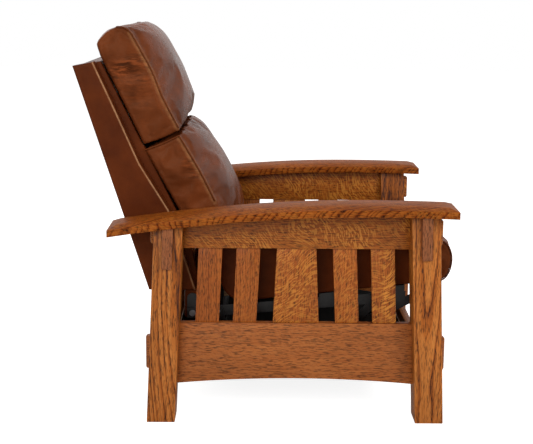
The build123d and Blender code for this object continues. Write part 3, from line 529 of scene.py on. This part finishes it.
def wrapped(name, near_edge, far_edge, place, low, high, radius, crown, body, node):
    """A board wrapped in thin foam and leather, between two edges that run from foot to head.

    Its face stands at high. At a place u along and t across it is lower by the radius times
    1 - f(a) f(b), where a and b are the distances to the nearest end and edge in radii and f turns a
    quarter circle, and it swells by the crown times 4t(1 - t). The other side is the same at low.
    The arris of the far edge gets a painted highlight, a pale tone over 4.5 mm.
    """
    u, t = crossed(90, 0.02), crossed(30, 0.09)
    one, two = (even(edge, 721)[np.round(u * 720).astype(int)] for edge in (near_edge, far_edge))
    flat = one[:, None] * (1 - t)[None, :, None] + two[:, None] * t[None, :, None]
    length = np.linalg.norm(np.diff(even(near_edge, 3), axis=0), axis=1).sum()
    width = np.linalg.norm(two - one, axis=1)[:, None]
    quarter = lambda distance: np.sqrt(1 - (1 - np.clip(distance / radius, 0, 1)) ** 2)
    from_end = np.minimum(u, 1 - u)[:, None] * length
    drop = radius * (1 - quarter(from_end) * quarter(np.minimum(t, 1 - t) * width))
    ripple = (0.35 * np.sin(flat[..., 1] / 31 + flat[..., 0] / 47) * np.sin(flat[..., 1] / 83)
              * quarter(from_end))
    lift = crown * 4 * t * (1 - t) * (1 - (2 * u[:, None] - 1) ** 8) - drop + ripple * 4 * t * (1 - t)
    sheets = [place(flat, level) for level in (high + lift, low - lift)]
    rows, columns = len(u), len(t)
    index = np.arange(rows * columns).reshape(rows, columns)
    rim = np.concatenate([index[0, :-1], index[:-1, -1], index[-1, :0:-1], index[:0:-1, 0]])
    after, below = np.roll(rim, -1), rows * columns
    wall = np.stack([rim, after, after + below, rim + below], -1).tolist()
    faces = grid_faces(rows, columns, False)
    faces += [[i + below for i in face] for face in faces] + wall
    made = outward(piece(name, np.concatenate([sheet.reshape(-1, 3) for sheet in sheets]), faces))
    # The pale tone along the far arris is a painted highlight.
    off_arris = to_seam(points_of(made), [place(two, high)])[0]
    mark(made, gather=0.0, along=0.0, folded=0.0, pulled=np.exp(-(off_arris / 4.5) ** 4))
    dress(made, panel_hide, body, "leather_panel", *node)
    return made


def side_place(sign):
    """Puts a side view's points and their heights off the middle plane in the shared frame."""
    return lambda flat, level: spot(flat[..., 0], flat[..., 1], sign * level)


wing_rear = [(-409.3, 343.5), (-611.9, 966.9)]
wing_front = [(-278.9, 343.5), (-352.7, 570.6), (-432.4, 700.5), (-505.0, 866.5), (-555.8, 978.6)]
wing_inside, wing_outside = 243.3, 287.6      # off the middle plane
back_lean = math.radians(18)
back_up = (-math.sin(back_lean), math.cos(back_lean))
back_off = (math.cos(back_lean), math.sin(back_lean))


def back_place(flat, level):
    """Puts points (across, up the back) and their heights off the wings' rear edge in the frame."""
    return spot(-411 + flat[..., 1] * back_up[0] + level * back_off[0],
                348.7 + flat[..., 1] * back_up[1] + level * back_off[1], flat[..., 0])


for side, s in (("left", 1), ("right", -1)):
    wrapped(f"{side}_wing_cover", wing_rear, wing_front, side_place(s), wing_inside, wing_outside,
            5.0, 0.8, "back", [f"{side}_wing"])
wrapped("back_panel_cover", [(-242.5, -5), (-242.5, 646)], [(242.5, -5), (242.5, 646)], back_place,
        0.5, 11.5, 4.0, 1.2, "back", ["back_panel"])
for node, width, body in (
        ("back_bottom_rail", 5, "back"), ("back_top_rail", 4, "back"),
        ("left_back_stile", 3, "back"), ("right_back_stile", 3, "back"),
        ("left_seat_side", 6, "seat"), ("right_seat_side", 6, "seat"),
        ("footrest_board", 4, "footrest"), ("seat_front_rail", 3, "seat")):
    eased(node, width, panel_hide, (0, 0, 0), 0.0, 1.0, "leather_panel", body, 4)


# Cushions

def boxed(name, side, crown, half, bulge, power):
    """A boxed cushion between two gussets.

    At a share u of the half width the loop is the side's outline plus 1 - |u|^power of the way to
    the middle's outline. Each gusset draws that outline in to its middle over a shallow dome.
    """
    u = np.sin(np.linspace(-0.5, 0.5, 33) * math.pi)
    loops = side[None] + (1 - np.abs(u) ** power)[:, None, None] * (crown - side)[None]
    rings = spot(loops[..., 0], loops[..., 1], (u * half)[:, None])
    draw = np.array([0.985, 0.94, 0.86, 0.72, 0.54, 0.34, 0.14])
    inner = side.mean(0) + draw[:, None, None] * (side - side.mean(0))
    out = (half + bulge * np.sqrt(1 - draw ** 3))[:, None]
    left, right = (spot(inner[..., 0], inner[..., 1], s * out) for s in (1, -1))
    return skin(name, np.concatenate([right[::-1], rings, left]))


def matched(side_runs, crown_runs, counts):
    """Two closed outlines whose runs have the same counts, so that corner meets corner."""
    return [np.vstack([curve(run, count + 1)[:-1] for run, count in zip(runs, counts)])
            for runs in (side_runs, crown_runs)]


def inflate(made, seams, pressure, cap_mm, voxel_mm, held_still):
    """Blows a cushion up as cloth, held at its seams, and keeps each point within cap_mm of its start."""
    remesh = made.modifiers.new("even", "REMESH")
    remesh.mode, remesh.voxel_size = "VOXEL", voxel_mm / 1000
    fresh = bpy.data.meshes.new_from_object(made.evaluated_get(bpy.context.evaluated_depsgraph_get()))
    made.modifiers.clear()
    made.data = fresh
    start = points_of(made)
    hold = np.maximum(np.clip((15 - to_seam(start, seams)[0]) / 10, 0, 1), held_still(start))
    group = made.vertex_groups.new(name="held")
    for tenth in range(1, 11):
        group.add(np.nonzero(np.round(hold * 10) == tenth)[0].tolist(), tenth / 10, "REPLACE")
    cloth = made.modifiers.new("cloth", "CLOTH")
    settings = cloth.settings
    settings.quality, settings.mass = 5, 0.4
    settings.tension_stiffness = settings.compression_stiffness = 30
    settings.shear_stiffness, settings.bending_stiffness = 12, 10
    settings.use_pressure, settings.uniform_pressure_force = True, pressure
    settings.shrink_min = -0.02
    settings.vertex_group_mass, settings.pin_stiffness = "held", 3.0
    settings.effector_weights.gravity = 0
    cloth.collision_settings.use_collision = False
    for number in range(1, 21):
        scene.frame_set(number)
    swollen = points_of(made.evaluated_get(bpy.context.evaluated_depsgraph_get()))
    scene.frame_set(1)
    made.modifiers.clear()
    made.vertex_groups.clear()
    step = swollen - start
    longest = np.maximum(np.linalg.norm(step, axis=1), 1e-9)[:, None]
    made.data.vertices.foreach_set("co", (start + step * np.minimum(1, cap_mm / 1000 / longest)).ravel())


def tailored(made, seams, rubs_and_painted_highlight, body, node, folds=()):
    """Draws a cushion in at its seams, gathers it beside them and presses folds into its gussets.

    The seam's groove is 2.2 mm deep and goes as the square of nearness within 8 mm. Puckers are
    three sines of the distance along the seam, 15, 23 and 41 mm long, and die away in 26 mm.
    A fold is a ridge with a hollow beside it, both falling off as a bell from its middle. A painted
    highlight, a pale tone palest 5 mm from the given run of the seams, stands in for gloss there.
    """
    start, normal = points_of(made), points_of(made, "normal")
    far, along = to_seam(start, seams)
    groove = -2.2 * np.clip(1 - far / 8, 0, 1) ** 2
    near = np.clip(1 - far / 26, 0, 1)
    waves = sum(np.sin(along * 2000 * math.pi / length + 2.1 * length) for length in (15, 23, 41))
    lift = groove + 0.45 * waves * near * np.clip(far / 6, 0, 1)
    forward, up = -start[:, 1] * 1000 - chair_middle, start[:, 2] * 1000
    on_side = np.clip((np.abs(normal[:, 0]) - 0.6) / 0.3, 0, 1)
    folded = np.zeros(len(start))
    for middle_forward, middle_up, slope, length, width, height in folds:
        c, s = math.cos(math.radians(slope)), math.sin(math.radians(slope))
        a = (forward - middle_forward) * c + (up - middle_up) * s
        b = (up - middle_up) * c - (forward - middle_forward) * s + a ** 2 / (4 * length)
        bell = np.exp(-(a / length) ** 2)
        ridge, hollow = (np.exp(-((b + off * width) / width) ** 2) for off in (0, 1.7))
        lift += on_side * height * bell * (ridge - 0.7 * hollow)
        # folded also sets where the leather gets painted shade in crease hollows and a painted highlight on
        # crests.
        folded = np.maximum(folded, on_side * bell * height / 1.5 * np.exp(-(b / 16) ** 2))
    made.data.vertices.foreach_set("co", (start + normal * lift[:, None] / 1000).ravel())
    # A pale band beside the given run of the seams is a painted highlight.
    first, last, highlight_strength = rubs_and_painted_highlight
    off_front = to_seam(start, [seam[first:last] for seam in seams])[0]
    mark(made, gather=near, along=along, folded=folded, pulled=highlight_strength * np.exp(-((off_front - 5) / 7) ** 2))
    made.data.shade_smooth()
    finer = made.modifiers.new("finer", "SUBSURF")
    finer.levels = finer.render_levels = 1
    dress(made, cushion_hide, body, "leather_cushion", node)


def welt(name, path, body, radius_mm, closed):
    """A piping cord covered in the cushions' leather."""
    made = cord(name, path, radius_mm / 1000, closed)
    # The welt's slight pale tone is a painted highlight.
    mark(made, gather=0.1, along=0.0, folded=0.0, pulled=0.2)
    dress(made, cushion_hide, body, "leather_cushion")


def behind_pillows(points):
    """1 at the pillows' rear faces, which lie on the back, falling to 0 over the next 12 mm."""
    lean = math.radians(26.4)
    forward, up = -points[:, 1] * 1000 - chair_middle + 423, points[:, 2] * 1000 - 741.2
    ahead = forward * math.cos(lean) + up * math.sin(lean)
    return np.clip(2 - ahead / 12, 0, 1)


upper = matched(
    [[(-424, 748), (-484, 873), (-543.5, 996.8)],
     [(-543.5, 996.8), (-550.6, 1026), (-528.4, 1054.3), (-495.7, 1072), (-472, 1069), (-455.5, 1055.5)],
     [(-455.5, 1055.5), (-425, 1001), (-397.4, 948.2), (-372.2, 885.2), (-323.8, 789.7)],
     [(-323.8, 789.7), (-375, 766), (-424, 748)]],
    [[(-424, 748), (-484, 873), (-543.5, 996.8)],
     [(-543.5, 996.8), (-546, 1030), (-520, 1060), (-487, 1076), (-452, 1076), (-425, 1064)],
     [(-425, 1064), (-396, 1032), (-372, 985), (-344, 921), (-322, 860), (-312, 826), (-314, 800)],
     [(-314, 800), (-360, 770), (-424, 748)]], (34, 26, 44, 16))
lower = matched(
    [[(-331, 571), (-375, 650), (-421, 734)],
     [(-421, 734), (-372, 753), (-326, 775)],
     [(-326, 775), (-299, 729), (-271.9, 682), (-248, 636), (-224.4, 587.4)],
     [(-224.4, 587.4), (-205, 525), (-225, 505), (-270, 503), (-300, 512), (-331, 571)]],
    [[(-331, 571), (-375, 650), (-421, 734)],
     [(-421, 734), (-368, 762), (-330, 787), (-314, 796)],
     [(-314, 796), (-296, 778), (-276, 752), (-240, 694), (-208, 648), (-176, 590)],
     [(-176, 590), (-152, 541), (-166, 504), (-240, 499), (-296, 508), (-331, 571)]], (26, 16, 40, 38))
seat = matched(
    [[(316, 403), (30, 381), (-252, 359)],
     [(-252, 359), (-255, 410), (-252, 455)],
     [(-252, 455), (-100, 464), (50, 471), (200, 473), (312, 466)],
     [(312, 466), (341, 456), (350, 432), (340, 412), (316, 403)]],
    [[(318, 403), (30, 381), (-254, 359)],
     [(-254, 359), (-258, 415), (-254, 466)],
     [(-254, 466), (-100, 487), (50, 494), (200, 495), (300, 486)],
     [(300, 486), (342, 474), (355, 440), (345, 414), (318, 403)]], (36, 12, 46, 20))
pad = matched(
    [[(342.5, 354), (369, 416), (395, 480)],
     [(395, 480), (410, 486), (427, 474), (438, 450), (440, 425), (434, 397), (422, 378),
      (404, 368), (374, 359), (342.5, 354)]],
    [[(342.5, 354), (369, 416), (395, 481)],
     [(395, 481), (411, 488), (429, 476), (440, 450), (442, 425), (436, 396), (423, 376),
      (405, 366), (375, 358), (342.5, 354)]],
    (30, 70))

most_swelling_mm = 22

# Outlines, half width, the gussets' bulge, the crown's power, body, fill, pressure, the mesh's step in
# millimetres, the run of the seams that gets a painted highlight with its strength, and the points that stay
# where they are
cushions = {
    "upper_pillow": (upper, 250.0, 3.5, 2.6, "back", 0.8, 1.6, 6.0, (60, 104, 0.75), behind_pillows),
    "lower_pillow": (lower, 250.0, 3.5, 2.6, "back", 0.8, 1.4, 6.0, (42, 82, 0.75), behind_pillows),
    "seat_cushion": (seat, 247.0, 2.5, 3.2, "seat", 0.75, 2.0, 6.0, (48, 94, 0.0),
                     lambda points: np.clip((452 - points[:, 2] * 1000) / 12, 0, 1)),
    "footrest_pad": (pad, 266.0, 2.0, 6.0, "footrest", 0.7, 1.0, 5.0, (30, 80, 0.0),
                     lambda points: np.zeros(len(points))),
}
# Forward, up, slope in degrees, length, width and height
folds = {"upper_pillow": [
    (-478, 962, 12, 42, 3.5, 1.5), (-466, 975, 8, 50, 3, 1.2), (-446, 985, 4, 36, 2.6, 1.1),
    (-492, 946, 20, 26, 3, 1.2),
    (-452, 952, -4, 36, 4, 1.0), (-497, 925, 30, 18, 3, 0.8), (-438, 938, -8, 32, 3, 0.9),
    (-470, 930, 6, 44, 3, 0.6),
    (-455, 915, 4, 44, 3, 0.5), (-446, 900, 2, 40, 3, 0.45), (-440, 884, 0, 42, 3, 0.4),
    (-426, 866, 0, 40, 3, 0.4),
    (-416, 995, 10, 18, 2.5, 1.0), (-412, 1008, 14, 16, 2.5, 1.0), (-408, 975, 6, 16, 2.5, 1.0)],
    "lower_pillow": [(-300, 700, 18, 20, 3, 0.8), (-290, 684, 12, 18, 3, 0.8), (-284, 664, 8, 16, 3, 0.7)]}
seams = {}
for node, (outlines, half, bulge, power, body, fill, pressure, voxel, rubs_and_painted_highlight, still) in cushions.items():
    made = boxed(node + "_cover", *outlines, half, bulge, power)
    seams[node] = [spot(outlines[0][:, 0], outlines[0][:, 1], s * (half + 0.5)) for s in (1, -1)]
    inflate(made, seams[node], pressure, most_swelling_mm, voxel, still)
    tailored(made, seams[node], rubs_and_painted_highlight, body, node, folds.get(node, ()))

for s, side in enumerate(("left", "right")):
    welt(f"upper_pillow_welt_{side}", seams["upper_pillow"][s][52:104], "back", 1.9, False)
    welt(f"lower_pillow_welt_{side}", seams["lower_pillow"][s][26:82], "back", 2.1, False)
    welt(f"seat_cushion_welt_{side}", seams["seat_cushion"][s], "seat", 2.2, True)
    welt(f"footrest_pad_welt_{side}", seams["footrest_pad"][s][30:], "footrest", 2.0, False)

# The black dust cloth stapled under the base: a level sheet that sags 5 mm between its edges, as the
# product of two half sines, and dips in scallops 90 mm apart between the staples
cloth_side, cloth_rear, cloth_front, cloth_up = 337, -348, 350, 132.5
across, forward = np.meshgrid(np.linspace(-cloth_side, cloth_side, 61), np.linspace(cloth_rear, cloth_front, 61))
edge = np.minimum(cloth_side - np.abs(across), 349 - np.abs(forward - 1))
sag = 5 * np.cos(across * math.pi / 690) * np.cos(forward * math.pi / 720)
scallop = 1.2 * np.exp(-edge / 14) * np.sin((across + forward) * math.pi / 90) ** 2
dust_cloth = piece("dust_cloth", spot(forward, cloth_up - sag - scallop, across), grid_faces(61, 61, False))
thick = dust_cloth.modifiers.new("thick", "SOLIDIFY")
thick.thickness = 0.0006
dress(dust_cloth, cambric, "frame", "webbing")
